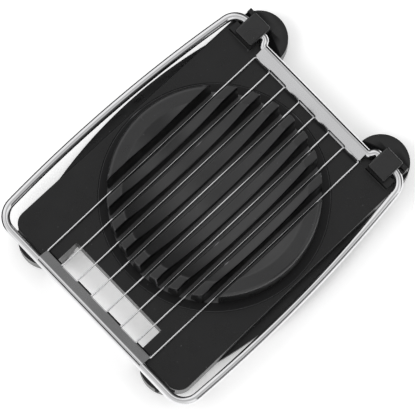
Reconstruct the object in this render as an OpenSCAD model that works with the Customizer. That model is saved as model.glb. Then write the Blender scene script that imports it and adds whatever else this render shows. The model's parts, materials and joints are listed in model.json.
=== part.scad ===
// Egg slicer: a black plastic base with a ribbed egg dish, and a hinged
// steel frame that carries eight parallel cutting wires.
// Millimetres. +Z is up and Z = 0 is the table. The frame's free end is at
// -X (the front) and its hinge is at +X (the rear). The origin is the middle
// of the footprint.

/* [Overall] */
// Length from the front of the frame to the back of the rear feet
overall_len = 121.2; // [118:0.2:128]
// Height of the base's top plate above the table
plate_top = 14.5; // [13:0.5:18]
// How far the cradle's centre lies behind the middle of the length
cradle_shift = 0.1; // [0:0.1:1.5]

/* [Base] */
// Half width of the top plate at its front corners
plate_front_half = 41.4; // [40.5:0.1:43]
// Half width of the top plate at its rear end
plate_rear_half = 40.7; // [40.2:0.1:42]
// Wall thickness of the base moulding
wall = 2.2; // [1.6:0.1:2.6]
// Radius of the base's front corners
corner_r = 5; // [3:0.5:8]
// Half width across the bulged ledges along the sides
ledge_half = 45.7; // [44:0.1:48]
// Height of the walls' and ledges' lower edge above the table
hem_lift = 5.5; // [4:0.5:8]
// Thickness of the side ledges
ledge_t = 2.2; // [1.6:0.1:3]
// Half width of the thumb notch in the front edge
notch_half = 21; // [16:0.5:22]
// How far the thumb notch reaches behind the plate's front edge
notch_depth = 11.4; // [8:0.2:13]

/* [Feet] */
// Radius of the round ears over the feet
ear_r = 10; // [8:0.5:11]
// Distance of the ears' centres inside the ledges' outermost line
ear_inset = 15.4; // [14:0.1:18]
// How far the ears' tops lie below the top plate
ear_drop = 4.5; // [3:0.5:6]
// Height of the ears' lower rims above the table
ear_lift = 2; // [1:0.5:3]
// How far the rubber feet stand inside the ears' rims
foot_inset = 0.7; // [0.4:0.1:1.5]
// How far the rubber feet plug into the ears
foot_plug = 3; // [2:0.5:4]

/* [Cradle] */
// Radius of the cradle's flange, let into the top plate
flange_r = 40; // [39:0.1:40]
// Radius of the ribbed dome
dome_r = 36.8; // [35:0.1:37]
// Height of the ribs' ends above the top plate
dome_h = 12.5; // [10:0.5:14]
// Radius of the dish's rim
dish_r = 31.6; // [28:0.2:32]
// Depth of the dish at its middle
dish_depth = 10; // [8:0.5:10]
// Width of a slot at its floor
slot_floor_w = 3; // [2.6:0.1:3.6]
// Width of a slot at the ribs' tops
slot_top_w = 4.2; // [3.8:0.1:4.8]

/* [Wires] */
// Number of cutting wires
wire_count = 8; // [8:2:8]
// Distance from one wire to the next
wire_pitch = 7.3; // [7:0.1:7.4]
// Diameter of a cutting wire
wire_d = 0.5; // [0.4:0.1:0.6]
// Height of the wires above the top plate
wire_lift = 1.4; // [1.2:0.1:1.6]

/* [Frame] */
// Diameter of the frame's steel rod
rod_d = 3; // [2.8:0.1:3.2]
// Height of the rod's centre line above the top plate
rod_lift = 2.5; // [2.4:0.1:2.8]
// Radius of the long bow of the frame's sides
side_bow_r = 530; // [480:10:700]
// How far the frame is widest in front of its middle
bow_ahead = 25; // [20:1:30]
// Bend radius of the rod at the front corners
front_bend_r = 7; // [5:0.5:9]
// Bend radius of the rod at the rear corners
rear_bend_r = 6; // [5:0.5:7]
// Distance of the hinge axis in front of the rear ears' centres
hinge_ahead = 0; // [0:0.1:0.8]
// How far the rod is cranked forward between the hinge blocks
crank = 2.4; // [2:0.1:2.6]
// Angle of the crank's slanted stretches to the hinge axis
crank_angle = 60; // [50:5:65]
// Thickness of the sheet-steel wire strips
sheet = 0.6; // [0.4:0.1:0.7]
// Reach of the strips from the rod's centre to their toothed edge
strip_reach = 4.8; // [4.4:0.1:5.2]

/* [Hinge blocks] */
// Length of a hinge cap, front to back
cap_len = 9.7; // [9:0.1:10.5]
// Width of a hinge cap
cap_w = 8; // [7:0.5:8]
// How far a cap's middle lies in front of the hinge axis
cap_ahead = 1; // [0.5:0.1:1.2]
// Height of a cap above the hinge axis
cap_h = 2.7; // [2.4:0.1:3.2]
// How far the plinths stand out past the caps' outer faces
plinth_step = 2.2; // [1.5:0.1:2.5]
// Diameter of the pegs that hold a cap on its plinth
peg_d = 1.6; // [1.2:0.1:1.8]
// Length of the pegs
peg_len = 3; // [2:0.5:4]

/* [Hidden] */
$fn = 96;
eps = 0.01;          // overlap that joins shapes of one piece
lap = 0.05;          // overlap of a strip's flange with its wrap
weld_proud = 0.02;   // balls that close the joints of bent bar stand out this much
far = 200;           // larger than the whole object

// clearances between pieces
hinge_gap = 0.06;    // rod to its hinge bore, on the radius
seat_gap = 0.1;      // pieces that drop into a seat
wrap_gap = 0.03;     // strip wrapped round the rod
tab_gap = 0.1;       // wire beside a tab
cover_gap = 0.15;    // wire's top to the strip over it
tab_clear = 0.4;     // tabs' feet to the top plate
cap_gap = 0.25;      // crank's corner to the cap beside it

rod_r = rod_d / 2;
wire_r = wire_d / 2;
tab_side = wire_r + tab_gap;   // a wire's centre to the side of its tab

flange_sink = 0.2;             // cradle's flange below the top plate
dome_edge_r = 1.4;             // rounding of the dome's upper edge

// heights above the table
axis_z = plate_top + rod_lift;
wire_z = plate_top + wire_lift;
ear_top = plate_top - ear_drop;
flange_top = plate_top - flange_sink;
flange_t = 1.4;
spigot_t = 1.6;
dome_top = plate_top + dome_h;

// places along the length
wrap_r = rod_r + wrap_gap + sheet;
bar_x = -overall_len / 2 + wrap_r;
ear_x = overall_len / 2 - ear_r;
hinge_x = ear_x - hinge_ahead;
crank_x = hinge_x - crank;
bar_overhang = 2.1;            // front bar's centre in front of the plate
hinge_overhang = 0.7;          // hinge axis behind the plate
plate_front = bar_x + bar_overhang;
plate_rear = hinge_x - hinge_overhang;
notch_x = plate_front + notch_depth;

// side ledges: low segments of a circle that bulge out of the straight walls
ledge_chord = 38;
ledge_bulge = ledge_half - plate_front_half;
ledge_r = (ledge_chord * ledge_chord + ledge_bulge * ledge_bulge) / (2 * ledge_bulge);

// dish: a spherical hollow
dish_ball_r = (dish_r * dish_r + dish_depth * dish_depth) / (2 * dish_depth);
dish_ball_z = dome_top - dish_depth + dish_ball_r;

// ears and feet
ear_wall = 1.8;
ear_y = ledge_half - ear_inset;
plug_r = ear_r - ear_wall - seat_gap / 2;
plug_top = ear_lift + foot_plug;

// plinths under the hinge caps
plinth_grow = 0.35;
bend_room_r = rod_r + 1;
peg_r = peg_d / 2;
cap_x = hinge_x - cap_ahead;
cap_front = cap_x - cap_len / 2;
cap_rear = cap_x + cap_len / 2;
peg_places = [(cap_front + hinge_x - rod_r) / 2, (cap_rear + hinge_x + rod_r) / 2];

// places across the width, from the wires outward
last_wire_y = (wire_count - 1) / 2 * wire_pitch;
strip_half = last_wire_y - tab_side;
crank_lead = rod_r * tan(crank_angle / 2) + seat_gap;  // room that a mitred corner takes
crank_in_y = strip_half + crank_lead;
crank_out_y = crank_in_y + crank / tan(crank_angle);
cap_inner_y = crank_out_y + crank_lead + cap_gap;
cap_outer_y = cap_inner_y + cap_w;
plinth_outer_y = cap_outer_y + plinth_step;
bend_in_cap = 0.6;             // the rear bends start this far inside the caps
rear_bend_y = cap_outer_y - bend_in_cap;

// frame side: an arc that blends into the bends at both ends
front_bend_x = bar_x + front_bend_r;
rear_bend_x = hinge_x - rear_bend_r;
bow_start = asin((front_bend_x + bow_ahead) / (side_bow_r - front_bend_r));
bow_end = asin((rear_bend_x + bow_ahead) / (side_bow_r - rear_bend_r));
bow_y = rear_bend_y - (side_bow_r - rear_bend_r) * cos(bow_end);
front_bend_y = bow_y + (side_bow_r - front_bend_r) * cos(bow_start);
bow_steps = 7;

// wire strips
strip_len = 2 * strip_half;
strip_drop = rod_lift - wire_lift - wire_r - cover_gap;
tab_w = wire_pitch - 2 * tab_side;
tab_foot = rod_lift - tab_clear;
tab_root = 0.5;                // a tab's reach up into the flange
strip_mouth = 50;              // where the wrap begins, below the flange
notch_cut = 1;
wire_back = strip_reach - sheet - tab_gap - wire_r;
wire_bend_r = 0.6;

// Both halves of something drawn on the +Y side.
module both_sides() {
    children();
    mirror([0, 1, 0]) children();
}

// ---------------------------------------------------------------- base

// Plan of the base, drawn in by `inset`.
module plate_plan(inset = 0) {
    front = plate_front + inset;
    rear = plate_rear - inset;
    round_r = corner_r - inset;
    round_x = plate_front + corner_r;
    round_y = plate_front_half - corner_r;
    polygon([
        [front, -round_y], [round_x, -plate_front_half + inset],
        [rear, -plate_rear_half + inset], [rear, plate_rear_half - inset],
        [round_x, plate_front_half - inset], [front, round_y]
    ]);
    for (side = [-1, 1])
        translate([round_x, side * round_y]) circle(round_r);
}

// Bulged ledge along the foot of the +Y wall.
module ledge() {
    intersection() {
        translate([cradle_shift, ledge_half - ledge_r, hem_lift])
            cylinder(h = ledge_t, r = ledge_r, $fn = 360);
        translate([-ledge_chord, plate_rear_half - wall, 0])
            cube([2 * (ledge_chord + cradle_shift), far, far]);
    }
}

module base_outer() {
    translate([0, 0, hem_lift]) linear_extrude(plate_top - hem_lift) plate_plan();
    both_sides() ledge();
}

// Room under the top plate, with a boss left standing over each foot.
module base_inner() {
    difference() {
        linear_extrude(plate_top - wall) plate_plan(wall);
        notch_block(wall);
        at_ears() cylinder(h = plate_top, r = plug_r);
    }
}

module notch_block(grow = 0) {
    translate([-far, -notch_half - grow, -1])
        cube([far + notch_x + grow, 2 * (notch_half + grow), plate_top + 2]);
}

module at_ears() {
    for (end_x = [-ear_x, ear_x], side = [-1, 1])
        translate([end_x, side * ear_y, 0]) children();
}

module plinth() {
    translate([cap_front - plinth_grow, cap_inner_y, ear_top - wall])
        cube([cap_len + 2 * plinth_grow, plinth_outer_y - cap_inner_y, axis_z - ear_top + wall]);
}

// Rod's bore, peg holes and the room for its bend, cut in a plinth.
module plinth_cuts() {
    translate([hinge_x, 0, axis_z]) rotate([-90, 0, 0]) {
        cylinder(h = far, r = rod_r + hinge_gap);
        translate([0, 0, cap_outer_y]) cylinder(h = far, r = bend_room_r);
    }
    for (peg_x = peg_places)
        translate([peg_x, cap_inner_y + cap_w / 2, axis_z - peg_len - seat_gap])
            cylinder(h = far, r = peg_r + seat_gap / 2);
}

module base_shell() {
    color([0.17, 0.17, 0.18])
    difference() {
        union() {
            difference() {
                base_outer();
                base_inner();
            }
            at_ears() translate([0, 0, ear_lift]) cylinder(h = ear_top - ear_lift, r = ear_r);
            both_sides() plinth();
        }
        at_ears() cylinder(h = plug_top, r = plug_r + seat_gap / 2);
        notch_block();
        // seat and hole of the cradle
        translate([cradle_shift, 0, 0]) {
            translate([0, 0, flange_top - flange_t])
                cylinder(h = far, r = flange_r + seat_gap);
            cylinder(h = far, r = dome_r + seat_gap);
        }
        both_sides() plinth_cuts();
    }
}

module foot(end, side) {
    color([0.13, 0.13, 0.13])
    translate([end * ear_x, side * ear_y, 0]) {
        cylinder(h = ear_lift, r = ear_r - foot_inset);
        cylinder(h = plug_top, r = plug_r);
    }
}
module foot_front_left() { foot(-1, -1); }
module foot_front_right() { foot(-1, 1); }
module foot_rear_left() { foot(1, -1); }
module foot_rear_right() { foot(1, 1); }

// ------------------------------------------------------------- cradle

// Long drafted slot for one wire.
module wire_slot(y) {
    translate([-far, y, flange_top]) rotate([90, 0, 90])
        linear_extrude(2 * far)
            polygon([
                [-slot_floor_w / 2, 0], [slot_floor_w / 2, 0],
                [slot_top_w / 2, dome_top - flange_top + eps],
                [-slot_top_w / 2, dome_top - flange_top + eps]
            ]);
}

// Hollow under one end crescent of the dome.
module crescent_hollow() {
    floor_z = flange_top - flange_t - spigot_t;
    intersection() {
        translate([0, 0, floor_z - 1]) cylinder(h = dome_top - wall - floor_z + 1, r = dome_r - wall);
        translate([-far, last_wire_y + slot_top_w / 2 + wall, -far]) cube([2 * far, far, 2 * far]);
    }
}

module egg_cradle() {
    edge_z = dome_top - dome_edge_r;
    spigot_z = flange_top - flange_t - spigot_t;
    color([0.24, 0.24, 0.25])
    translate([cradle_shift, 0, 0])
    difference() {
        union() {
            translate([0, 0, flange_top - flange_t]) cylinder(h = flange_t, r = flange_r);
            translate([0, 0, spigot_z]) cylinder(h = edge_z - spigot_z, r = dome_r);
            translate([0, 0, edge_z]) rotate_extrude() {
                square([dome_r - dome_edge_r, dome_edge_r]);
                intersection() {
                    translate([dome_r - dome_edge_r, 0]) circle(dome_edge_r);
                    square([dome_r, dome_edge_r]);
                }
            }
        }
        translate([0, 0, dish_ball_z]) sphere(dish_ball_r, $fn = 180);
        for (i = [0 : wire_count - 1])
            wire_slot((i - (wire_count - 1) / 2) * wire_pitch);
        both_sides() crescent_hollow();
    }
}

// -------------------------------------------------------- hinge blocks

// Cap over the rod on the +Y side, with two pegs in the plinth.
module hinge_cap() {
    color([0.22, 0.22, 0.23])
    difference() {
        union() {
            translate([cap_front, cap_inner_y, axis_z]) cube([cap_len, cap_w, cap_h]);
            for (peg_x = peg_places)
                translate([peg_x, cap_inner_y + cap_w / 2, axis_z - peg_len])
                    cylinder(h = peg_len + eps, r = peg_r);
        }
        translate([hinge_x, 0, axis_z]) rotate([-90, 0, 0]) cylinder(h = far, r = rod_r + hinge_gap);
    }
}
module hinge_cap_right() { hinge_cap(); }
module hinge_cap_left() { mirror([0, 1, 0]) hinge_cap(); }

// --------------------------------------------------------------- frame

// Straight stretch of round bar between two points of the frame's plane.
module bar(from, to, r) {
    run = to - from;
    translate([from[0], from[1], 0])
        rotate([90, 0, atan2(run[1], run[0]) + 90]) cylinder(h = norm(run), r = r);
}

// Bent stretch of round bar: an arc about `centre`.
module bend(centre, arc_r, start, turn, r) {
    translate([centre[0], centre[1], 0]) rotate([0, 0, start])
        rotate_extrude(angle = turn) translate([arc_r, 0]) circle(r, $fn = 48);
}

// Slightly proud ball that closes a joint between two stretches of bar.
module weld(at, heading, r) {
    translate([at[0], at[1], 0]) rotate([0, 90, heading]) sphere(r + weld_proud);
}

// Bowed side, `step` steps back from the front corner: its angle to the
// length, and its place.
function bow_angle(step) = bow_start + step / bow_steps * (bow_end - bow_start);
function bow_point(step) =
    [-bow_ahead, bow_y] + side_bow_r * [sin(bow_angle(step)), cos(bow_angle(step))];

module frame_rod() {
    crank_out = [hinge_x, crank_out_y];
    crank_in = [crank_x, crank_in_y];
    color("silver")
    translate([0, 0, axis_z]) {
        bar([bar_x, -front_bend_y], [bar_x, front_bend_y], rod_r);
        bar([crank_x, -crank_in_y], [crank_x, crank_in_y], rod_r);
        both_sides() {
            weld([bar_x, front_bend_y], 90, rod_r);
            bend([front_bend_x, front_bend_y], front_bend_r, 90 - bow_start, 90 + bow_start, rod_r);
            for (step = [0 : bow_steps]) weld(bow_point(step), -bow_angle(step), rod_r);
            for (step = [1 : bow_steps]) bar(bow_point(step - 1), bow_point(step), rod_r);
            bend([rear_bend_x, rear_bend_y], rear_bend_r, 0, 90 - bow_end, rod_r);
            weld([hinge_x, rear_bend_y], 90, rod_r);
            bar(crank_out, [hinge_x, rear_bend_y], rod_r);
            weld(crank_out, 90, rod_r);
            bar(crank_in, crank_out, rod_r);
            weld(crank_in, 90, rod_r);
        }
    }
}

// Section of a wire strip: wrapped round the rod at [0, 0], then a flange
// that slopes down and inward (+X).
module strip_section(cut) {
    inner_r = rod_r + wrap_gap;
    // angle at which the flange leaves the wrap to pass just over the wires
    leave = acos(inner_r / norm([strip_reach, strip_drop])) - atan2(strip_drop, strip_reach);
    difference() {
        circle(wrap_r);
        circle(inner_r);
        polygon([
            [0, 0], far * [cos(strip_mouth), -sin(strip_mouth)],
            [2 * far, 0], far * [cos(leave), sin(leave)]
        ]);
    }
    intersection() {
        rotate(leave) translate([inner_r, -far]) square([sheet, far + lap]);
        translate([-far, -far]) square([far + strip_reach - cut, 2 * far]);
    }
}

// Wire strip along Y at the rod, flange towards +X, tabs between pairs.
module wire_strip() {
    color([0.75, 0.75, 0.77])
    translate([0, 0, axis_z]) {
        rotate([90, 0, 0]) linear_extrude(strip_len, center = true) strip_section(notch_cut);
        for (pair = [0 : wire_count / 2 - 1])
            translate([0, (pair * 2 + 0.5) * wire_pitch - last_wire_y, 0]) {
                rotate([90, 0, 0]) linear_extrude(tab_w, center = true) strip_section(0);
                translate([strip_reach - sheet, -tab_w / 2, -tab_foot])
                    cube([sheet, tab_w, tab_foot - strip_drop + tab_root]);
            }
    }
}
module front_wire_strip() { translate([bar_x, 0, 0]) wire_strip(); }
module rear_wire_strip() { translate([crank_x, 0, 0]) mirror([1, 0, 0]) wire_strip(); }

// --------------------------------------------------------------- wires

// One strand, with a half loop behind the tab at each end. The strands of a
// pair meet behind the middle of the tab.
module cutting_wire(index) {
    y = (index - 1) * wire_pitch - last_wire_y;
    inward = index % 2 == 1 ? 1 : -1;
    front = bar_x + wire_back;
    rear = crank_x - wire_back;
    color([0.8, 0.8, 0.82])
    translate([0, y, wire_z]) mirror([0, inward > 0 ? 0 : 1, 0]) {
        bar([front + wire_bend_r, 0], [rear - wire_bend_r, 0], wire_r);
        bend([front + wire_bend_r, wire_bend_r], wire_bend_r, 180, 90, wire_r);
        bend([rear - wire_bend_r, wire_bend_r], wire_bend_r, 270, 90, wire_r);
        for (end_x = [front + wire_bend_r, rear - wire_bend_r]) weld([end_x, 0], 0, wire_r);
        for (end_x = [front, rear]) {
            weld([end_x, wire_bend_r], 90, wire_r);
            bar([end_x, wire_bend_r], [end_x, wire_pitch / 2], wire_r);
        }
    }
}
module cutting_wire_1() { cutting_wire(1); }
module cutting_wire_2() { cutting_wire(2); }
module cutting_wire_3() { cutting_wire(3); }
module cutting_wire_4() { cutting_wire(4); }
module cutting_wire_5() { cutting_wire(5); }
module cutting_wire_6() { cutting_wire(6); }
module cutting_wire_7() { cutting_wire(7); }
module cutting_wire_8() { cutting_wire(8); }

base_shell();
egg_cradle();
foot_front_left();
foot_front_right();
foot_rear_left();
foot_rear_right();
hinge_cap_left();
hinge_cap_right();
frame_rod();
front_wire_strip();
rear_wire_strip();
cutting_wire_1();
cutting_wire_2();
cutting_wire_3();
cutting_wire_4();
cutting_wire_5();
cutting_wire_6();
cutting_wire_7();
cutting_wire_8();
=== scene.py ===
import json
import math

import bmesh
import bpy
from mathutils import Matrix, Vector


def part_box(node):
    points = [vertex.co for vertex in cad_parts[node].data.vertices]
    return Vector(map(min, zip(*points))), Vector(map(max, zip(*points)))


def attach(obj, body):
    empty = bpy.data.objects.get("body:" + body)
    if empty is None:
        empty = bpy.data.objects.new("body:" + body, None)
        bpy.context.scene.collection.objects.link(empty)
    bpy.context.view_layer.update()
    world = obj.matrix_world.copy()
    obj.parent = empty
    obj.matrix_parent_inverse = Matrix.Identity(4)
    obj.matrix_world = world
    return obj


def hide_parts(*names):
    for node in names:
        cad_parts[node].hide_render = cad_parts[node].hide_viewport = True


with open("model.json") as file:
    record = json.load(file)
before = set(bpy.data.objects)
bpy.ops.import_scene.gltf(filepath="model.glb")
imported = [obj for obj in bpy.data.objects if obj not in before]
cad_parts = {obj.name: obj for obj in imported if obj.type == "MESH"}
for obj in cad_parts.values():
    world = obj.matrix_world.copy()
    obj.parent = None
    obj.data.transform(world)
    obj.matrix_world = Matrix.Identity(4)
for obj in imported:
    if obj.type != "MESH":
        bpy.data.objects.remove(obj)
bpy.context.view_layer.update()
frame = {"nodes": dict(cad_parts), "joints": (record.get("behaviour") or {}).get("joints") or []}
mm = 0.001
weld = 0.0001 * mm          # points closer than this are one

# ---- places read from the frame

rodLow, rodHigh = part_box("frame_rod")
cradleLow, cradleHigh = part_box("egg_cradle")
hingeJoint = frame["joints"][0]
hingeX, hingeZ = hingeJoint["pos_m"][0], hingeJoint["pos_m"][2]
cradleX = (cradleLow.x + cradleHigh.x) / 2
cradleTop = cradleHigh.z
barX = rodLow.x + (rodHigh.z - rodLow.z) / 2
rodLift = 2.5 * mm           # rod axis above the plate
plateTop = hingeZ - rodLift


# ---- small helpers

def linkObject(name, mesh):
    obj = bpy.data.objects.new(name, mesh)
    bpy.context.scene.collection.objects.link(obj)
    return obj


def smoothFaces(mesh):
    for polygon in mesh.polygons:
        polygon.use_smooth = True


def keepModified(obj):      # the modifiers' result becomes the object's own mesh
    mesh = bpy.data.meshes.new_from_object(obj.evaluated_get(bpy.context.evaluated_depsgraph_get()))
    obj.modifiers.clear()
    obj.data = mesh
    return mesh


def addNode(tree, kind, **inputs):
    node = tree.nodes.new(kind)
    for key, value in inputs.items():
        if key in node.inputs:
            socket = node.inputs[key]
            if isinstance(value, bpy.types.NodeSocket):
                tree.links.new(value, socket)
            else:
                socket.default_value = value
        else:
            setattr(node, key, value)
    return node


def calc(tree, operation, *values):     # one Math node, sockets or numbers in
    node = tree.nodes.new("ShaderNodeMath")
    node.operation = operation
    for socket, value in zip(node.inputs, values):
        if isinstance(value, bpy.types.NodeSocket):
            tree.links.new(value, socket)
        else:
            socket.default_value = value
    return node.outputs[0]


# ---- finishes

def noise(tree, where, scale, detail=3.0, roughness=0.5):
    return addNode(tree, "ShaderNodeTexNoise", Vector=where, Scale=scale, Detail=detail,
                   Roughness=roughness).outputs["Fac"]


def remap(tree, value, low, high, fromLow=0.0, fromHigh=1.0):
    node = addNode(tree, "ShaderNodeMapRange", Value=value)
    for label, number in (("From Min", fromLow), ("From Max", fromHigh),
                          ("To Min", low), ("To Max", high)):
        node.inputs[label].default_value = number
    return node.outputs["Result"]


def blendColour(tree, factor, first, second):
    node = tree.nodes.new("ShaderNodeMix")
    node.data_type = "RGBA"
    tree.links.new(factor, node.inputs[0])
    for socket, colour in ((node.inputs[6], first), (node.inputs[7], second)):
        if isinstance(colour, bpy.types.NodeSocket):
            tree.links.new(colour, socket)
        else:
            socket.default_value = (*colour, 1)
    return node.outputs[2]


def stackBumps(tree, shader, layers):       # layers: (height socket, depth in metres)
    normal = None
    for height, depth in layers:
        bump = addNode(tree, "ShaderNodeBump", Height=height, Strength=1.0)
        bump.inputs["Distance"].default_value = depth
        if normal:
            tree.links.new(normal, bump.inputs["Normal"])
        normal = bump.outputs["Normal"]
    tree.links.new(normal, shader.inputs["Normal"])


def newFinish(name):
    material = bpy.data.materials.new(name)
    material.use_nodes = True
    tree = material.node_tree
    where = addNode(tree, "ShaderNodeTexCoord").outputs["Object"]
    return material, tree, tree.nodes["Principled BSDF"], where


satinLook = {
    "edgeFrom": 0.54, "edgeTo": 0.7, "edgeShare": 0.6, "edgeGain": 3.0,      # painted highlight: edges made lighter by pointiness
    "grainScale": 2600, "grainDepth": 0.003 * mm,       # fine spark-eroded texture
    "sinkScale": 60, "sinkDepth": 0.02 * mm,            # slow waves of a moulded wall
    "flowScale": 38, "flowSpread": 0.16,                # colour drift
    "dustScale": 900, "dustFrom": 0.74, "dustTo": 0.82,
    "dustColour": (0.16, 0.16, 0.165), "dustShare": 0.35,
    "roughSpread": 0.07, "wearTimes": 4, "maskFrom": 0.3, "maskTo": 0.7,
}


def satinPlastic(name, colour, roughness, specular, look=satinLook):
    material, tree, shader, where = newFinish(name)
    flow = noise(tree, where, look["flowScale"], 4.0)
    drift = look["flowSpread"]
    base = blendColour(tree, remap(tree, flow, 0, 1, look["maskFrom"], look["maskTo"]),
                       [c * (1 - drift) for c in colour], [c * (1 + drift) for c in colour])
    specks = remap(tree, noise(tree, where, look["dustScale"], 1.0), 0, look["dustShare"],
                   look["dustFrom"], look["dustTo"])
    dusty = blendColour(tree, specks, base, look["dustColour"])
    # painted highlight: sharp edges get a lighter colour
    sharp = tree.nodes.new("ShaderNodeNewGeometry").outputs["Pointiness"]
    edgeHighlight = remap(tree, sharp, 0, look["edgeShare"], look["edgeFrom"], look["edgeTo"])
    tree.links.new(blendColour(tree, edgeHighlight, dusty, [c * look["edgeGain"] for c in colour]),
                   shader.inputs["Base Color"])
    wear = noise(tree, where, look["flowScale"] * look["wearTimes"], 5.0, 0.65)
    spread = look["roughSpread"]
    tree.links.new(remap(tree, wear, roughness - spread, roughness + spread,
                         look["maskFrom"], look["maskTo"]), shader.inputs["Roughness"])
    shader.inputs["Specular IOR Level"].default_value = specular
    stackBumps(tree, shader, [(noise(tree, where, look["sinkScale"], 1.0), look["sinkDepth"]),
                              (noise(tree, where, look["grainScale"], 2.0), look["grainDepth"])])
    return material


steelLook = {
    "smudgeScale": 70, "smudgeDim": 0.93, "smudgeRoughLow": 0.8, "smudgeRoughHigh": 1.35,
    "maskFrom": 0.3, "maskTo": 0.7,
    "lineScale": 900, "lineDepth": 0.0001 * mm, "lineStretch": 0.02,
    "waveScale": 25, "waveDepth": 0.004 * mm,
    "pitScale": 2600, "pitFrom": 0.82, "pitTo": 0.9, "pitColour": (0.45, 0.45, 0.46),
}


def brightSteel(name, colour, roughness, lineAxis, look=steelLook):
    material, tree, shader, where = newFinish(name)
    shader.inputs["Metallic"].default_value = 1.0
    smudge = noise(tree, where, look["smudgeScale"], 5.0, 0.6)
    masks = look["maskFrom"], look["maskTo"]
    base = blendColour(tree, remap(tree, smudge, 0, 1, *masks),
                       [c * look["smudgeDim"] for c in colour], colour)
    pits = remap(tree, noise(tree, where, look["pitScale"], 1.0), 0, 1, look["pitFrom"], look["pitTo"])
    tree.links.new(blendColour(tree, pits, base, look["pitColour"]), shader.inputs["Base Color"])
    tree.links.new(remap(tree, smudge, roughness * look["smudgeRoughLow"],
                         roughness * look["smudgeRoughHigh"], *masks), shader.inputs["Roughness"])
    drawn = tree.nodes.new("ShaderNodeMapping")     # rolling lines run along one axis
    drawn.inputs["Scale"].default_value = [look["lineStretch"] if axis == lineAxis else 1
                                            for axis in "XYZ"]
    tree.links.new(where, drawn.inputs["Vector"])
    stackBumps(tree, shader, [(noise(tree, where, look["waveScale"], 1.0), look["waveDepth"]),
                              (noise(tree, drawn.outputs[0], look["lineScale"], 2.0), look["lineDepth"])])
    return material


shellLook = dict(satinLook, edgeShare=0.0)
# caps and dish get a strong painted highlight along their edges
capLook = dict(satinLook, edgeFrom=0.55, edgeTo=0.68, edgeShare=1.0, edgeGain=14)
cradleLook = dict(satinLook, edgeFrom=0.52, edgeTo=0.63, edgeShare=1.0, edgeGain=12)
plasticBlack = satinPlastic("moulded black plastic", (0.0035, 0.0035, 0.0038), 0.30, 0.48, shellLook)
plasticCradle = satinPlastic("dish plastic", (0.0105, 0.0105, 0.0110), 0.32, 0.70, cradleLook)
# painted shade: a darker copy of the dish plastic for the flange and the slot walls
shadedDishPlastic = satinPlastic("dish flange and slot wall painted shade", (0.0030, 0.0030, 0.0033), 0.34, 0.24)
plasticCap = satinPlastic("cap plastic", (0.0060, 0.0060, 0.0063), 0.30, 0.66, capLook)
# painted light: a lighter copy of the dish plastic for the slot floors
litSlotFloorPlastic = satinPlastic("slot floor painted light", (0.028, 0.028, 0.029), 0.38, 0.95)
rubberBlack = satinPlastic("foot rubber", (0.012, 0.012, 0.012), 0.7, 0.3)
rodSteel = brightSteel("polished rod steel", (0.84, 0.84, 0.85), 0.08, "X")
stripSteel = brightSteel("polished sheet steel", (0.80, 0.80, 0.81), 0.16, "Y")
wireSteel = brightSteel("drawn wire steel", (0.96, 0.96, 0.97), 0.16, "X")
print("finishes made")


# ---- geometry nodes helpers

def startTree(name, sizes):
    tree = bpy.data.node_groups.new(name, "GeometryNodeTree")
    tree.is_modifier = True
    tree.interface.new_socket("Geometry", in_out="INPUT", socket_type="NodeSocketGeometry")
    for label, value in sizes.items():
        kind = "NodeSocketInt" if isinstance(value, int) else "NodeSocketFloat"
        tree.interface.new_socket(label, in_out="INPUT", socket_type=kind)
    tree.interface.new_socket("Material", in_out="INPUT", socket_type="NodeSocketMaterial")
    tree.interface.new_socket("Geometry", in_out="OUTPUT", socket_type="NodeSocketGeometry")
    given = tree.nodes.new("NodeGroupInput")
    return tree, given.outputs


def endTree(tree, geometry, given):
    whole = addNode(tree, "GeometryNodeRealizeInstances", Geometry=geometry)
    painted = addNode(tree, "GeometryNodeSetMaterial", Geometry=whole.outputs[0],
                      Material=given["Material"])
    out = tree.nodes.new("NodeGroupOutput")
    tree.links.new(painted.outputs[0], out.inputs[0])


def growPiece(name, tree, sizes, material, source=None):
    obj = linkObject(name, source or bpy.data.meshes.new(name))
    modifier = obj.modifiers.new("grow", "NODES")
    modifier.node_group = tree
    for item in tree.interface.items_tree:
        if item.item_type == "SOCKET" and item.in_out == "INPUT":
            if item.name in sizes:
                modifier[item.identifier] = sizes[item.name]
            elif item.name == "Material":
                modifier[item.identifier] = material
    mesh = keepModified(obj)
    mesh.name = name
    smoothFaces(mesh)
    return obj


# ---- round bar along a path: the frame and the wires

def barTree():
    tree, given = startTree("round bar", {"Radius": 1.0, "Sides": 24})
    line = addNode(tree, "GeometryNodeMeshToCurve", Mesh=given["Geometry"])
    ring = addNode(tree, "GeometryNodeCurvePrimitiveCircle", Resolution=given["Sides"],
                   Radius=given["Radius"])
    swept = addNode(tree, "GeometryNodeCurveToMesh", Curve=line.outputs[0])
    tree.links.new(ring.outputs[0], swept.inputs["Profile Curve"])
    swept.inputs["Fill Caps"].default_value = True
    endTree(tree, swept.outputs[0], given)
    return tree


roundBar = barTree()


def pathMesh(name, paths):       # paths: list of (points, closed)
    mesh = bpy.data.meshes.new(name)
    points, edges = [], []
    for path, closed in paths:
        first = len(points)
        points += [tuple(p) for p in path]
        edges += [(first + i, first + i + 1) for i in range(len(path) - 1)]
        if closed:
            edges.append((len(points) - 1, first))
    mesh.from_pydata(points, edges, [])
    return mesh


straight = math.radians(89.9)       # half angle from which a corner counts as none


def roundedPath(corners, radii, steps):     # polyline with each corner turned into an arc
    path = []
    count = len(corners)
    for i, corner in enumerate(corners):
        before, after = corners[i - 1], corners[(i + 1) % count]
        here = Vector(corner)
        inward = (Vector(before) - here).normalized()
        outward = (Vector(after) - here).normalized()
        half = inward.angle(outward) / 2
        radius = radii[i]
        if radius <= 0 or half > straight:
            path.append(here)
            continue
        bisector = (inward + outward).normalized()
        centre = here + bisector * (radius / math.sin(half))
        start = here + inward * (radius / math.tan(half)) - centre
        turn = math.pi - 2 * half
        axis = start.cross(bisector * -1).normalized()
        for k in range(steps + 1):
            path.append(centre + Matrix.Rotation(turn * k / steps, 3, axis) @ start)
    return path


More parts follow.
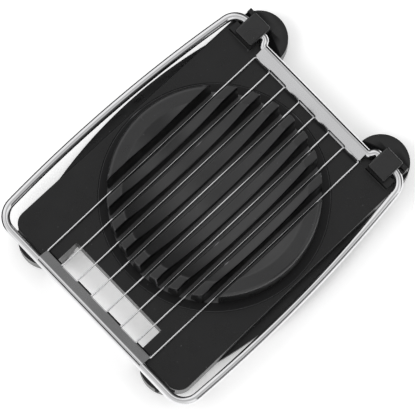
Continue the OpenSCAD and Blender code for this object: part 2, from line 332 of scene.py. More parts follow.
frameRodSizes = {
    "radius": 1.5 * mm, "frontBend": 7 * mm, "rearBend": 6 * mm,
    "bowRadius": 530 * mm, "bowAhead": 25 * mm,
    "crank": 2.4 * mm, "crankInner": 26.17 * mm, "crankOuter": 27.55 * mm, "crankBend": 1.7 * mm,
    "rearBendY": 36.17 * mm, "bowPoints": 24, "bendPoints": 10, "crankPoints": 6, "sides": 40,
}
crankX = hingeX - frameRodSizes["crank"]


def buildFrameRod(sizes=frameRodSizes):
    bow, front, rear = sizes["bowRadius"], sizes["frontBend"], sizes["rearBend"]
    frontX, rearX = barX + front, hingeX - rear
    startAngle = math.asin((frontX + sizes["bowAhead"]) / (bow - front))
    endAngle = math.asin((rearX + sizes["bowAhead"]) / (bow - rear))
    bowY = sizes["rearBendY"] - (bow - rear) * math.cos(endAngle)
    frontY = bowY + (bow - front) * math.cos(startAngle)

    def arc(x, y, radius, first, last, count):      # angles from +Y towards +X
        turns = [first + (last - first) * k / count for k in range(count + 1)]
        return [Vector((x + radius * math.sin(t), y + radius * math.cos(t), hingeZ)) for t in turns]

    side = arc(frontX, frontY, front, -math.pi / 2, startAngle, sizes["bendPoints"])
    side += arc(-sizes["bowAhead"], bowY, bow, startAngle, endAngle, sizes["bowPoints"])[1:-1]
    side += arc(rearX, sizes["rearBendY"], rear, endAngle, math.pi / 2, sizes["bendPoints"])
    crank = roundedPath(
        [(hingeX, sizes["rearBendY"], hingeZ), (hingeX, sizes["crankOuter"], hingeZ),
         (crankX, sizes["crankInner"], hingeZ), (crankX, 0, hingeZ)],
        [0, sizes["crankBend"], sizes["crankBend"], 0], sizes["crankPoints"])
    half = side + crank[1:-1]
    other = [Vector((p.x, -p.y, p.z)) for p in reversed(half)]
    rod = growPiece("frameRod", roundBar, {"Radius": sizes["radius"], "Sides": sizes["sides"]},
                    rodSteel, pathMesh("frameRodPath", [(half + other, True)]))
    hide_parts("frame_rod")
    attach(rod, "cutting_frame")
    return rod


buildFrameRod()
print("frame rod bent")

wireSizes = {"radius": 0.3 * mm, "bend": 0.9 * mm, "bendPoints": 5, "sides": 16}


def buildWires(sizes=wireSizes):
    pairs = [(1, 2), (3, 4), (5, 6), (7, 8)]
    for first, second in pairs:
        low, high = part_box(f"cutting_wire_{first}")
        farLow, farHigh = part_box(f"cutting_wire_{second}")
        reach = (high.z - low.z) / 2
        z = (high.z + low.z) / 2
        front, rear = low.x + reach, high.x - reach
        left, right = low.y + reach, farHigh.y - reach
        loop = roundedPath([(front, left, z), (rear, left, z), (rear, right, z), (front, right, z)],
                           [sizes["bend"]] * 4, sizes["bendPoints"])
        bar = {"Radius": sizes["radius"], "Sides": sizes["sides"]}
        wire = growPiece(f"wirePair{first}{second}", roundBar, bar, wireSteel,
                         pathMesh("wirePath", [(loop, True)]))
        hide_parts(f"cutting_wire_{first}", f"cutting_wire_{second}")
        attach(wire, "cutting_frame")


buildWires()
print("wires strung")


def evenFaces(obj):       # large faces lead the shading of the narrow ones beside them
    even = obj.modifiers.new("even faces", "WEIGHTED_NORMAL")
    even.mode = "FACE_AREA"
    even.weight = 100
    even.keep_sharp = True
    keepModified(obj)


# ---- wire strips: a folded sheet whose two leaves grip the rod, with tongues that hold the wires

stripSizes = {
    "sheet": 0.56 * mm, "wrap": 1.81 * mm, "grip": 8, "leave": 65.5,       # upper leaf: radius, degrees
    "edge": 3.72 * mm, "edgeGap": 0.02 * mm, "tongueReach": 4.5 * mm, "fold": 1.15 * mm,
    "tongueFoot": 1.53 * mm,
    "lowerReach": 4.45 * mm, "lowerGrip": 17,
    "half": 25.2 * mm, "pitch": 7.3 * mm, "wires": 8, "tongueHalf": 3.2 * mm,
    "corner": 0.45 * mm, "soft": 0.08 * mm, "softCorner": 60, "sharp": 25,
    "gripPoints": 14, "slopePoints": 16, "foldPoints": 10, "dropPoints": 6, "lowerPoints": 8,
    "shadeLine": 1.55 * mm, "shadeLineSheet": 0.1 * mm,       # painted shade: a thin black sheet along the upper leaf's edge, standing for the shadowed gap at the rod
    "shadeLineFrom": 99, "shadeLineTo": {1: 111, -1: 124}, "shadeLinePoints": 4,
    "darkFrom": 0.62, "darkTo": 0.98, "darkSide": 0.2, "darkPast": 0.2 * mm,    # painted reflection: a front fold's faces painted black
    "flarePoints": (0.3, 0.6),      # extra points in a tongue's first stretch
}
# black paint for the painted shade at the leaf's edge and the painted reflection on the front folds
paintedDark = satinPlastic("painted shade and reflection black", (0.004, 0.004, 0.004), 0.6, 0.1)


def arcPoints(x, z, radius, first, last, count):        # degrees, from +x towards +z
    turns = [math.radians(first + (last - first) * k / count) for k in range(count + 1)]
    return [Vector((x + radius * math.cos(t), z + radius * math.sin(t))) for t in turns]


def upperLeaf(sizes):       # centre line in (x, z), from the rod's top to a tongue's foot
    wrap, leave, fold = sizes["wrap"], sizes["leave"], sizes["fold"]
    path = arcPoints(0, 0, wrap, 90 + sizes["grip"], leave, sizes["gripPoints"])
    fall = math.radians(90 - leave)
    slope = Vector((math.cos(fall), -math.sin(fall)))
    run = (sizes["tongueReach"] - fold * (1 - math.sin(fall)) - path[-1].x) / slope.x
    tangent, count = path[-1], sizes["slopePoints"]
    path += [tangent + slope * run * k / count for k in range(1, count + 1)]
    centre = path[-1] - Vector((math.sin(fall), math.cos(fall))) * fold
    path += arcPoints(centre.x, centre.y, fold, leave, 0, sizes["foldPoints"])[1:]
    last, count = path[-1], sizes["dropPoints"]
    foot = Vector((last.x, -sizes["tongueFoot"]))
    path += [last.lerp(foot, k / count) for k in range(1, count + 1)]
    return path


def column(path):       # (distance along, point) for each point
    lengths = [0]
    for before, after in zip(path, path[1:]):
        lengths.append(lengths[-1] + (after - before).length)
    return list(zip(lengths, path))


def sheetGrid(columns, rows, place):     # rows: places across
    points = [place(column, y) for y in rows for column in columns]
    count = len(columns)
    faces = [(j * count + i, j * count + i + 1, (j + 1) * count + i + 1, (j + 1) * count + i)
             for j in range(len(rows) - 1) for i in range(count - 1)]
    return points, faces


def thickSheet(name, grids, thickness, paint, facing, sizes):       # joined grids given a thickness
    joined = bmesh.new()
    for points, faces in grids:
        mesh = bpy.data.meshes.new(name)
        mesh.from_pydata(points, [], faces if facing > 0 else [face[::-1] for face in faces])
        joined.from_mesh(mesh)
    bmesh.ops.remove_doubles(joined, verts=joined.verts, dist=weld)
    mesh = bpy.data.meshes.new(name)
    joined.to_mesh(mesh)
    joined.free()
    smoothFaces(mesh)
    leaf = linkObject("leaf", mesh)
    thick = leaf.modifiers.new("sheet", "SOLIDIFY")
    thick.thickness = thickness
    thick.offset = 0
    soft = leaf.modifiers.new("soft edges", "BEVEL")
    soft.width = min(sizes["soft"], thickness / 4)
    soft.segments = 2
    soft.limit_method = "ANGLE"
    soft.angle_limit = math.radians(sizes["softCorner"])
    final = keepModified(leaf)
    smoothFaces(final)
    for polygon in final.polygons:
        polygon.material_index = paint
    bpy.data.objects.remove(leaf)
    return final


def buildStrip(name, node, originX, facing, sizes=stripSizes):
    half, corner, tongue = sizes["half"], sizes["corner"], sizes["tongueHalf"]
    upper = upperLeaf(sizes)        # a point is put right on the strip's edge, where the tongues begin
    edge = next(i for i, p in enumerate(upper) if p.x > sizes["edge"])
    upper[edge] = upper[edge - 1].lerp(upper[edge], (sizes["edge"] - upper[edge - 1].x)
                                       / (upper[edge].x - upper[edge - 1].x))
    clear = sizes["edge"] + sizes["edgeGap"]        # points crowding the edge go
    upper[edge + 1:] = [p for p in upper[edge + 1:] if p.x > clear or p.y < 0]
    pairs = sizes["wires"] // 2
    middles = [(pair * 2 - pairs + 1) * sizes["pitch"] for pair in range(pairs)]
    wide = tongue + corner
    ends = sorted([-half, half] + [middle + side * wide for middle in middles for side in (-1, 1)])

    def place(spot, y):
        return originX + facing * spot[1].x, y, hingeZ + spot[1].y

    def narrowed(middle, total):        # tongues flare at the foot and are rounded at the tip
        def put(spot, y):
            near, left = spot[0], total - spot[0]
            width = wide - corner * math.sqrt(max(0, 1 - max(0, 1 - near / corner) ** 2))
            width -= corner * (1 - math.sqrt(max(0, 1 - max(0, 1 - left / corner) ** 2)))
            return place(spot, middle + (y - middle) * width / wide)
        return put

    start, after = upper[edge], upper[edge + 1]
    tail = column([start] + [start.lerp(after, t) for t in sizes["flarePoints"]] + upper[edge + 1:])
    main = [sheetGrid(column(upper[:edge + 1]), ends, place)]
    for middle in middles:
        main.append(sheetGrid(tail, [middle - wide, middle + wide], narrowed(middle, tail[-1][0])))
    count = sizes["lowerPoints"]
    lower = [Vector((sizes["lowerReach"] * (1 - k / count), -sizes["wrap"])) for k in range(count)]
    lower += arcPoints(0, 0, sizes["wrap"], 270, 270 - sizes["lowerGrip"], sizes["dropPoints"])
    # painted shade: a thin black sheet laid along the upper leaf's edge
    shadeLine = arcPoints(0, 0, sizes["shadeLine"], sizes["shadeLineTo"][facing], sizes["shadeLineFrom"], sizes["shadeLinePoints"])
    whole = bmesh.new()
    for grids, thickness, paint in (
            (main, sizes["sheet"], 0),
            ([sheetGrid(column(lower), [-half, half], place)], sizes["sheet"], 0),
            ([sheetGrid(column(shadeLine), [-half, half], place)], sizes["shadeLineSheet"], 1)):
        whole.from_mesh(thickSheet(name, grids, thickness, paint, facing, sizes))
    mesh = bpy.data.meshes.new(name)
    whole.to_mesh(mesh)
    whole.free()
    mesh.set_sharp_from_angle(angle=math.radians(sizes["sharp"]))
    mesh.materials.append(stripSteel)
    mesh.materials.append(paintedDark)
    for polygon in mesh.polygons:       # painted reflection: the front tongues' folds get the black paint
        past = polygon.center.x - originX > sizes["edge"] + sizes["darkPast"]
        folded = sizes["darkFrom"] < polygon.normal.x < sizes["darkTo"]
        if facing > 0 and past and folded and abs(polygon.normal.y) < sizes["darkSide"]:
            polygon.material_index = 1
    strip = linkObject(name, mesh)
    evenFaces(strip)
    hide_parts(node)
    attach(strip, "cutting_frame")
    return strip


buildStrip("frontWireStrip", "front_wire_strip", barX, 1)
buildStrip("rearWireStrip", "rear_wire_strip", crankX, -1)
print("wire strips rolled")


# ---- egg cradle

cradleSizes = {
    "Rib Count": 7, "Pitch": 7.3 * mm, "Slot Floor": 3 * mm, "Slot Top": 4.2 * mm,
    "Dome Radius": 36.8 * mm, "Dome Top": cradleTop, "Floor": plateTop - 0.2 * mm,
    "Dish Radius": 31.6 * mm, "Dish Depth": 10 * mm, "Edge Round": 0.6 * mm,
}
cradleDetail = {
    "ribSheet": 2.3, "ribLong": 139, "ribWide": 24,     # a rib's grid: top out to 1, walls beyond
    "ribSink": 0.15, "easeLong": 2.0, "easeWide": 1.6, "dishBlend": 0.35 * mm,
    "crescentSheet": 1.1, "crescentSink": 0.1, "crescentLong": 111, "crescentWide": 41,
    "crescentEaseLong": 1.5, "crescentEaseWide": 2.2, "outerEdge": 1.5 * mm, "innerEdge": 0.45 * mm,
    "flange": 40 * mm, "lip": 0.3 * mm, "flangeThick": 1.4 * mm, "steps": 160, "sharp": 35,
    "wallTurn": 0.85, "wallPast": 0.6 * mm, "floorReach": 0.1 * mm, "flangeRim": 0.6 * mm,
}


def ribTree(detail=cradleDetail):
    tree, given = startTree("cradle ribs", cradleSizes)
    pitch = given["Pitch"]
    spanY = calc(tree, "MULTIPLY", calc(tree, "SUBTRACT", given["Rib Count"], 1), pitch)
    start = addNode(tree, "ShaderNodeCombineXYZ", Y=calc(tree, "MULTIPLY", spanY, -0.5))
    step = addNode(tree, "ShaderNodeCombineXYZ", Y=pitch)
    line = addNode(tree, "GeometryNodeMeshLine", Count=given["Rib Count"])
    tree.links.new(start.outputs[0], line.inputs["Start Location"])
    tree.links.new(step.outputs[0], line.inputs["Offset"])
    place = tree.nodes.new("GeometryNodeCaptureAttribute")
    place.capture_items.new("VECTOR", "middle")
    tree.links.new(line.outputs[0], place.inputs["Geometry"])
    position = tree.nodes.new("GeometryNodeInputPosition")
    tree.links.new(position.outputs[0], place.inputs["middle"])
    sheet = addNode(tree, "GeometryNodeMeshGrid")
    sheet.inputs["Size X"].default_value = detail["ribSheet"]
    sheet.inputs["Size Y"].default_value = detail["ribSheet"]
    sheet.inputs["Vertices X"].default_value = detail["ribLong"]
    sheet.inputs["Vertices Y"].default_value = detail["ribWide"]
    spread = addNode(tree, "GeometryNodeInstanceOnPoints", Points=place.outputs["Geometry"])
    tree.links.new(sheet.outputs["Mesh"], spread.inputs["Instance"])
    whole = addNode(tree, "GeometryNodeRealizeInstances", Geometry=spread.outputs[0])

    here = addNode(tree, "ShaderNodeSeparateXYZ", Vector=position.outputs[0])
    middle = addNode(tree, "ShaderNodeSeparateXYZ", Vector=place.outputs["middle"]).outputs["Y"]
    alongRaw = here.outputs["X"]
    acrossRaw = calc(tree, "SUBTRACT", here.outputs["Y"], middle)

    def eased(raw, power):       # 0..1 from the middle to the edge, crowded at the edge
        size = calc(tree, "MINIMUM", calc(tree, "ABSOLUTE", raw), 1)
        near = calc(tree, "POWER", calc(tree, "SUBTRACT", 1, size), power)
        return calc(tree, "MULTIPLY", calc(tree, "SIGN", raw), calc(tree, "SUBTRACT", 1, near))

    along = eased(alongRaw, detail["easeLong"])
    across = eased(acrossRaw, detail["easeWide"])
    overX = calc(tree, "SUBTRACT", calc(tree, "ABSOLUTE", alongRaw), 1)
    overY = calc(tree, "SUBTRACT", calc(tree, "ABSOLUTE", acrossRaw), 1)
    sink = calc(tree, "DIVIDE", calc(tree, "MAXIMUM", calc(tree, "MAXIMUM", overX, overY), 0),
                detail["ribSink"])

    rim, edge = given["Dome Radius"], given["Edge Round"]
    dishR, dishD, top = given["Dish Radius"], given["Dish Depth"], given["Dome Top"]
    squares = calc(tree, "ADD", calc(tree, "POWER", dishR, 2), calc(tree, "POWER", dishD, 2))
    ballR = calc(tree, "DIVIDE", squares, calc(tree, "MULTIPLY", dishD, 2))
    ballZ = calc(tree, "ADD", calc(tree, "SUBTRACT", top, dishD), ballR)

    def chord(radius, offset):     # sqrt(radius² - offset²)
        inside = calc(tree, "SUBTRACT", calc(tree, "MULTIPLY", radius, radius),
                      calc(tree, "MULTIPLY", offset, offset))
        return calc(tree, "SQRT", calc(tree, "MAXIMUM", inside, 0))

    def dishHeight(x, y):
        out = calc(tree, "SQRT", calc(tree, "ADD", calc(tree, "MULTIPLY", x, x),
                                      calc(tree, "MULTIPLY", y, y)))
        ball = calc(tree, "SUBTRACT", ballZ, chord(ballR, out))
        return calc(tree, "SMOOTH_MIN", ball, top, detail["dishBlend"])

    height = calc(tree, "SUBTRACT", top, given["Floor"])
    draft = calc(tree, "DIVIDE", calc(tree, "SUBTRACT", given["Slot Top"], given["Slot Floor"]),
                 calc(tree, "MULTIPLY", height, 2))
    halfTop = calc(tree, "DIVIDE", calc(tree, "SUBTRACT", pitch, given["Slot Top"]), 2)
    endX = chord(rim, middle)
    endGap = calc(tree, "MULTIPLY", calc(tree, "SUBTRACT", 1, calc(tree, "ABSOLUTE", along)), endX)
    centreTop = dishHeight(calc(tree, "MULTIPLY", along, endX), middle)
    halfHere = calc(tree, "ADD", halfTop,
                    calc(tree, "MULTIPLY", draft, calc(tree, "SUBTRACT", top, centreTop)))
    short = calc(tree, "MAXIMUM", calc(tree, "SUBTRACT", edge, endGap), 0)
    half = calc(tree, "ADD", calc(tree, "SUBTRACT", halfHere, edge), chord(edge, short))
    y0 = calc(tree, "ADD", middle, calc(tree, "MULTIPLY", across, half))
    x0 = calc(tree, "MULTIPLY", along, chord(rim, y0))
    sideGap = calc(tree, "MULTIPLY", calc(tree, "SUBTRACT", 1, calc(tree, "ABSOLUTE", across)), half)
    a = calc(tree, "MAXIMUM", calc(tree, "SUBTRACT", edge, sideGap), 0)
    drop = calc(tree, "SUBTRACT", edge, chord(chord(edge, a), short))
    topZ = calc(tree, "SUBTRACT", dishHeight(x0, y0), drop)
    z = calc(tree, "ADD", calc(tree, "MULTIPLY", topZ, calc(tree, "SUBTRACT", 1, sink)),
             calc(tree, "MULTIPLY", given["Floor"], sink))
    fall = calc(tree, "SUBTRACT", topZ, z)
    y = calc(tree, "ADD", y0, calc(tree, "MULTIPLY", across, calc(tree, "MULTIPLY", draft, fall)))
    finalPlace = addNode(tree, "ShaderNodeCombineXYZ", X=x0, Y=y, Z=z)
    shaped = addNode(tree, "GeometryNodeSetPosition", Geometry=whole.outputs[0],
                     Position=finalPlace.outputs[0])
    endTree(tree, shaped.outputs[0], given)
    return tree


def sheetMesh(name, columns, rows, place):     # grid of points made by a function
    mesh = bpy.data.meshes.new(name)
    points = [place(i / (columns - 1), j / (rows - 1)) for i in range(columns) for j in range(rows)]
    faces = [(i * rows + j, i * rows + j + 1, (i + 1) * rows + j + 1, (i + 1) * rows + j)
             for i in range(columns - 1) for j in range(rows - 1)]
    mesh.from_pydata(points, [], faces)
    return mesh


def buildCradle(size=cradleSizes, detail=cradleDetail):
    ribs = growPiece("cradleRibs", ribTree(), size, plasticCradle)
    ribs.data.transform(Matrix.Translation((cradleX, 0, 0)))
    rim, top, floor = size["Dome Radius"], cradleTop, size["Floor"]
    edge, innerEdge, sheet = detail["outerEdge"], detail["innerEdge"], detail["crescentSheet"]
    ballR = (size["Dish Radius"] ** 2 + size["Dish Depth"] ** 2) / (2 * size["Dish Depth"])
    ballZ = top - size["Dish Depth"] + ballR
    innerY = (size["Rib Count"] / 2) * size["Pitch"] + size["Slot Top"] / 2
    draft = (size["Slot Top"] - size["Slot Floor"]) / 2 / (top - floor)

    def crescentPoint(u, v):
        s, t = u * 2 * sheet - sheet, v * 2 * sheet - sheet
        over = max(abs(s) - 1, abs(t) - 1, 0) / detail["crescentSink"]
        s, t = max(-1, min(1, s)), max(-1, min(1, t))
        s = math.copysign(1 - (1 - abs(s)) ** detail["crescentEaseLong"], s)
        t = math.copysign(1 - (1 - abs(t)) ** detail["crescentEaseWide"], t)
        halfChord = math.sqrt(rim ** 2 - innerY ** 2)
        x = s * halfChord
        outer = math.sqrt(max(rim ** 2 - x ** 2, innerY ** 2))
        y = innerY + (t + 1) / 2 * (outer - innerY)
        r = math.hypot(x, y)
        gapOut = max(0, edge - (rim - r))
        gapIn = max(0, innerEdge - (y - innerY))
        drop = edge - math.sqrt(max(0, edge ** 2 - gapOut ** 2))
        drop += innerEdge - math.sqrt(max(0, innerEdge ** 2 - gapIn ** 2))
        ball = ballZ - math.sqrt(max(0, ballR ** 2 - r * r))
        z = min(ball, top) - drop
        z = z + (floor - z) * over
        if t < 0 and over > 0:
            y -= draft * (top - z)
        return (cradleX + x, y, z)

    pieces = [ribs]
    for side in (1, -1):
        mesh = sheetMesh("crescent", detail["crescentLong"], detail["crescentWide"], crescentPoint)
        crescent = linkObject("crescent", mesh)
        if side < 0:
            mesh.transform(Matrix.Scale(-1, 4, (0, 1, 0)))
            mesh.flip_normals()
        mesh.materials.append(plasticCradle)
        pieces.append(crescent)
    # flange under the ribs, turned from a profile
    flange, lip, under = detail["flange"], detail["lip"], floor - detail["flangeThick"]
    profile = [(0, floor), (rim, floor), (flange - lip, floor)]
    profile += [(flange - lip + lip * math.sin(a), floor - lip + lip * math.cos(a))
                for a in [math.radians(d) for d in (30, 60, 90)]]
    profile += [(flange, under), (rim, under), (rim, cradleLow.z), (0, cradleLow.z)]
    pieces.append(turned("flange", profile, plasticCradle, detail["steps"]))
    cradle = joinPieces("eggCradle", pieces, detail["sharp"])
    cradle.data.materials.clear()
    cradle.data.materials.append(plasticCradle)
    cradle.data.materials.append(shadedDishPlastic)
    cradle.data.materials.append(litSlotFloorPlastic)
    # painted shade on the flange and slot walls, painted light on the slot floors
    for polygon in cradle.data.polygons:
        place = polygon.center
        radius = math.hypot(place.x - cradleX, place.y)
        low = place.z < floor + detail["floorReach"]
        inSlot = (abs(polygon.normal.y) > detail["wallTurn"]
                  and abs(place.y) < innerY + detail["wallPast"])
        if low and rim < radius < flange - detail["flangeRim"] or inSlot:
            polygon.material_index = 1
        elif low and radius < rim:
            polygon.material_index = 2
    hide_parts("egg_cradle")
    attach(cradle, "base")
    return cradle


def turned(name, profile, material, steps):     # round the cradle's middle
    mesh = bpy.data.meshes.new(name)
    build = bmesh.new()
    rings = []
    for radius, z in profile:
        if radius < weld:
            rings.append([build.verts.new((cradleX, 0, z))])
        else:
            rings.append([build.verts.new((cradleX + radius * math.cos(2 * math.pi * k / steps),
                                           radius * math.sin(2 * math.pi * k / steps), z))
                          for k in range(steps)])
    for lower, upper in zip(rings, rings[1:]):
        for k in range(steps):
            n = (k + 1) % steps
            corners = [lower[k % len(lower)], lower[n % len(lower)],
                       upper[n % len(upper)], upper[k % len(upper)]]
            unique = list(dict.fromkeys(corners))
            if len(unique) > 2:
                build.faces.new(unique)
    bmesh.ops.recalc_face_normals(build, faces=build.faces)
    build.to_mesh(mesh)
    build.free()
    mesh.materials.append(material)
    return linkObject(name, mesh)


def joinPieces(name, pieces, sharp):
    whole = bmesh.new()
    for piece in pieces:
        whole.from_mesh(piece.data)
        bpy.data.objects.remove(piece)
    bmesh.ops.remove_doubles(whole, verts=whole.verts, dist=weld)
    bmesh.ops.dissolve_degenerate(whole, edges=whole.edges, dist=weld)
    mesh = bpy.data.meshes.new(name)
    whole.to_mesh(mesh)
    whole.free()
    smoothFaces(mesh)
    mesh.set_sharp_from_angle(angle=math.radians(sharp))
    return linkObject(name, mesh)


buildCradle()
print("cradle moulded")


# ---- pieces that keep their solid's shape, with softened edges

softSizes = {
    "shell": 0.5 * mm, "cap": 0.8 * mm, "foot": 0.4 * mm, "segments": 4,
    "weld": 0.002 * mm, "flat": 1.5, "corner": 30, "sharp": 35,        # degrees
    "wallReach": 0.02 * mm, "rimReach": 0.05 * mm,
    "seatRadius": 41.5 * mm, "notchX": -43 * mm, "notchHalf": 24 * mm,
}


# boxOnly rounds the box's own edges; rim rounds the edges at that height, apart from those kept
def softened(node, name, width, material, body, boxOnly=False, rim=None, kept=None,
             sizes=softSizes):
    source = frame["nodes"][node]
    low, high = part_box(node)
    work = bmesh.new()
    work.from_mesh(source.data)
    bmesh.ops.remove_doubles(work, verts=work.verts, dist=sizes["weld"])
    bmesh.ops.dissolve_limit(work, angle_limit=math.radians(sizes["flat"]), verts=work.verts,
                             edges=work.edges)

    def walls(place):       # which of the box's outer faces, other than its underside, a point lies on
        gaps = {"west": place.x - low.x, "east": high.x - place.x, "south": place.y - low.y,
                "north": high.y - place.y, "top": high.z - place.z}
        return {label for label, gap in gaps.items() if gap < sizes["wallReach"]}

    def soften(chosen, clamp):
        bmesh.ops.bevel(work, geom=chosen, offset=width, offset_type="OFFSET",
                        segments=sizes["segments"], profile=0.5, affect="EDGES", clamp_overlap=clamp)

    def onRim(place):
        return abs(place.z - rim) < sizes["rimReach"] and not kept(place)

    if boxOnly:
        soften([e for e in work.edges if len(walls(e.verts[0].co) & walls(e.verts[1].co)) > 1], False)
    else:
        corner = math.radians(sizes["corner"])
        corners = [e for e in work.edges if e.is_manifold and e.calc_face_angle(0) > corner]
        if rim is None:
            soften(corners, True)
        else:
            soften([e for e in corners if all(onRim(v.co) for v in e.verts)], False)
    mesh = bpy.data.meshes.new(name)
    work.to_mesh(mesh)
    work.free()
    obj = linkObject(name, mesh)
    mesh.materials.clear()
    mesh.materials.append(material)
    smoothFaces(mesh)
    mesh.set_sharp_from_angle(angle=math.radians(sizes["sharp"]))
    evenFaces(obj)
    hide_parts(node)
    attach(obj, body)
    print(name, len(obj.data.polygons), "faces")
    return obj


def holeOrNotch(place, sizes=softSizes):        # edges of the dish's seat and of the notch stay sharp
    return (math.hypot(place.x - cradleX, place.y) < sizes["seatRadius"]
            or place.x < sizes["notchX"] and abs(place.y) < sizes["notchHalf"])


softened("base_shell", "baseShell", softSizes["shell"], plasticBlack, "base",
         rim=plateTop, kept=holeOrNotch)
for side in ("left", "right"):
    softened(f"hinge_cap_{side}", f"hingeCap_{side}", softSizes["cap"], plasticCap,
             "base", boxOnly=True)
for end in ("front", "rear"):
    for side in ("left", "right"):
        softened(f"foot_{end}_{side}", f"foot_{end}_{side}", softSizes["foot"], rubberBlack,
                 "base")
print("edges softened")


# ---- studio

cameraView = {"azimuth": -43.65, "elevation": 79.25, "distance": 1.3, "pixelsPerMm": 2.92,
              "pixelsWide": 415, "aim": (-4.2 * mm, -1.06 * mm, plateTop), "sensor": 36, "farthest": 20}


def placeCamera(view=cameraView):
    a, e = math.radians(view["azimuth"]), math.radians(view["elevation"])
    back = Vector((math.sin(a) * math.cos(e), -math.cos(a) * math.cos(e), math.sin(e)))
    data = bpy.data.cameras.new("camera")
    camera = bpy.data.objects.new("camera", data)
    bpy.context.scene.collection.objects.link(camera)
    camera.location = Vector(view["aim"]) + back * view["distance"]
    camera.rotation_euler = (-back).to_track_quat("-Z", "Y").to_euler()
    frameWidth = view["pixelsWide"] / view["pixelsPerMm"] * mm
    data.sensor_fit = "HORIZONTAL"
    data.sensor_width = view["sensor"]
    data.lens = view["sensor"] * view["distance"] / frameWidth
    data.clip_end = view["farthest"]
    bpy.context.scene.camera = camera


placeCamera()

studio = {
    "floorSize": 6, "floorColour": (0.9, 0.9, 0.9), "floorLift": 0.3,
    "farFloor": 0.03, "farFloorFrom": 0.15, "farFloorTo": 0.4,      # brightness in gloss, and where
    "skyLow": 0.3, "skyHigh": 1.1, "skyPower": 3,       # on matt surfaces, horizon and zenith
    "ceiling": 0.55, "ceilingFrom": 0.86, "ceilingTo": 0.95,       # dim patch overhead, seen in gloss
    "lampFrom": 0.22, "lampTo": 0.32,                   # where the patch ends, towards the hinge
    "farSide": 0.2, "farFrom": 0.45, "farTo": 0.8,      # dimmer side behind the hinge, seen in gloss
    "farLow": 0.05, "lowFrom": 0.3, "lowTo": 0.4,       # and darker low down
    "card": 0.16, "cardHeading": (0.14, -0.99),         # grey card on one side
    "cardFrom": 0.96, "cardTo": 0.985,
    "cardLow": 0.2, "cardHigh": 0.85, "cardSoft": 0.06,
    "nearSide": 0.69, "nearFrom": 0.35, "nearTo": 0.5,      # softer light in front
    "nearLow": 0.4, "nearHigh": 0.5,
    "horizon": 0.1, "horizonHalf": 0.08, "horizonSoft": 0.02,       # dark line where the table ends
    "horizonFrom": 0.5, "horizonTo": 0.8,               # left and right only
    "key": {"spot": (-0.6, 0.3, 1.1), "size": 0.6, "power": 5},
    "fill": {"spot": (0.6, 0.05, 1.2), "size": 0.6, "power": 3},
}


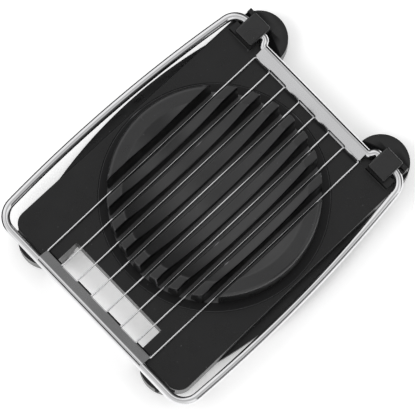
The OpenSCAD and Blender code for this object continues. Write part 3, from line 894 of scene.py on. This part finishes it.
def buildStudio(look=studio):
    mesh = bpy.data.meshes.new("floor")
    half = look["floorSize"] / 2
    corners = [(-half, -half, 0), (half, -half, 0), (half, half, 0), (-half, half, 0)]
    mesh.from_pydata(corners, [], [(0, 1, 2, 3)])
    floor = linkObject("floor", mesh)
    paint = bpy.data.materials.new("pale floor")
    paint.use_nodes = True
    tree = paint.node_tree
    shader = tree.nodes["Principled BSDF"]
    shader.inputs["Base Color"].default_value = (*look["floorColour"], 1)
    shader.inputs["Roughness"].default_value = 1.0
    shader.inputs["Specular IOR Level"].default_value = 0.0
    rays = addNode(tree, "ShaderNodeLightPath").outputs
    seen = calc(tree, "MAXIMUM", rays["Is Camera Ray"], rays["Is Glossy Ray"])
    shader.inputs["Emission Color"].default_value = (1, 1, 1, 1)
    tree.links.new(calc(tree, "MULTIPLY", seen, look["floorLift"]), shader.inputs["Emission Strength"])
    # towards the far side the floor is dark in gloss, as if the table ended there
    heading = tree.nodes.new("ShaderNodeNewGeometry").outputs["Incoming"]
    away = calc(tree, "MULTIPLY", addNode(tree, "ShaderNodeSeparateXYZ", Vector=heading).outputs["Y"], -1)
    beyond = remap(tree, away, 0, 1, look["farFloorFrom"], look["farFloorTo"])
    shade = addNode(tree, "ShaderNodeEmission", Strength=look["farFloor"])
    mix = tree.nodes.new("ShaderNodeMixShader")
    tree.links.new(calc(tree, "MULTIPLY", rays["Is Glossy Ray"], beyond), mix.inputs[0])
    tree.links.new(shader.outputs[0], mix.inputs[1])
    tree.links.new(shade.outputs[0], mix.inputs[2])
    tree.links.new(mix.outputs[0], tree.nodes["Material Output"].inputs["Surface"])
    mesh.materials.append(paint)

    world = bpy.data.worlds.new("studio")
    bpy.context.scene.world = world
    world.use_nodes = True
    tree = world.node_tree
    background = tree.nodes["Background"]
    rays = addNode(tree, "ShaderNodeLightPath").outputs
    heading = addNode(tree, "ShaderNodeTexCoord").outputs["Generated"]
    towards = addNode(tree, "ShaderNodeSeparateXYZ", Vector=heading).outputs

    def smooth(value, low, high, first, second):
        node = tree.nodes.new("ShaderNodeMapRange")
        node.interpolation_type = "SMOOTHSTEP"
        tree.links.new(value, node.inputs["Value"])
        for label, number in (("From Min", low), ("From Max", high),
                              ("To Min", first), ("To Max", second)):
            node.inputs[label].default_value = number
        return node.outputs["Result"]

    def between(value, low, high, soft):        # 1 inside a range, 0 outside
        return calc(tree, "MULTIPLY", smooth(value, low - soft, low + soft, 0, 1),
                    smooth(value, high - soft, high + soft, 1, 0))

    overhead = smooth(towards["Z"], look["ceilingFrom"], look["ceilingTo"], 1, look["ceiling"])
    overhead = calc(tree, "MAXIMUM", overhead,
                    smooth(towards["X"], look["lampFrom"], look["lampTo"], 0, 1))
    farSide = smooth(towards["X"], look["farFrom"], look["farTo"], 1, look["farSide"])
    lowBehind = calc(tree, "MULTIPLY", smooth(towards["X"], look["farFrom"], look["farTo"], 0, 1),
                     smooth(towards["Z"], look["lowFrom"], look["lowTo"], 1, 0))
    farLow = remap(tree, lowBehind, 1, look["farLow"])
    farSide = calc(tree, "MINIMUM", farSide, farLow)
    level = calc(tree, "SQRT", calc(tree, "ADD", calc(tree, "MULTIPLY", towards["X"], towards["X"]),
                                    calc(tree, "MULTIPLY", towards["Y"], towards["Y"])))
    headed = calc(tree, "ADD", calc(tree, "MULTIPLY", towards["X"], look["cardHeading"][0]),
                  calc(tree, "MULTIPLY", towards["Y"], look["cardHeading"][1]))
    inCard = calc(tree, "MULTIPLY",
                  smooth(calc(tree, "DIVIDE", headed, level), look["cardFrom"], look["cardTo"], 0, 1),
                  between(towards["Z"], look["cardLow"], look["cardHigh"], look["cardSoft"]))
    card = remap(tree, inCard, 1, look["card"])
    inRim = calc(tree, "MULTIPLY",
                 between(towards["Z"], -look["horizonHalf"], look["horizonHalf"], look["horizonSoft"]),
                 smooth(calc(tree, "ABSOLUTE", towards["Y"]),
                        look["horizonFrom"], look["horizonTo"], 0, 1))
    rim = remap(tree, inRim, 1, look["horizon"])
    front = calc(tree, "MULTIPLY", smooth(towards["X"], -look["nearFrom"], -look["nearTo"], 0, 1),
                 smooth(towards["Z"], look["nearLow"], look["nearHigh"], 0, 1))
    nearSide = remap(tree, front, 1, look["nearSide"])
    gloss = calc(tree, "MINIMUM", calc(tree, "MINIMUM", overhead, farSide),
                 calc(tree, "MINIMUM", card, rim))
    gloss = calc(tree, "MINIMUM", gloss, nearSide)
    sky = calc(tree, "ADD", look["skyLow"], calc(tree, "MULTIPLY", look["skyHigh"] - look["skyLow"],
               calc(tree, "POWER", calc(tree, "MAXIMUM", towards["Z"], 0), look["skyPower"])))
    glossy = calc(tree, "MAXIMUM", rays["Is Glossy Ray"], rays["Is Transmission Ray"])
    strength = calc(tree, "ADD", calc(tree, "MULTIPLY", glossy, gloss),
                    calc(tree, "MULTIPLY", calc(tree, "SUBTRACT", 1, glossy), sky))
    strength = calc(tree, "MAXIMUM", strength, rays["Is Camera Ray"])
    background.inputs["Color"].default_value = (1, 1, 1, 1)
    tree.links.new(strength, background.inputs["Strength"])

    for name in ("key", "fill"):
        lamp = bpy.data.lights.new(name, "AREA")
        lamp.shape = "SQUARE"
        lamp.size = look[name]["size"]
        lamp.energy = look[name]["power"]
        holder = bpy.data.objects.new(name, lamp)
        bpy.context.scene.collection.objects.link(holder)
        holder.visible_glossy = False
        holder.location = look[name]["spot"]
        holder.rotation_euler = (-Vector(look[name]["spot"])).to_track_quat("-Z", "Y").to_euler()


buildStudio()
bpy.context.scene.view_settings.view_transform = "Standard"
print("studio lit")
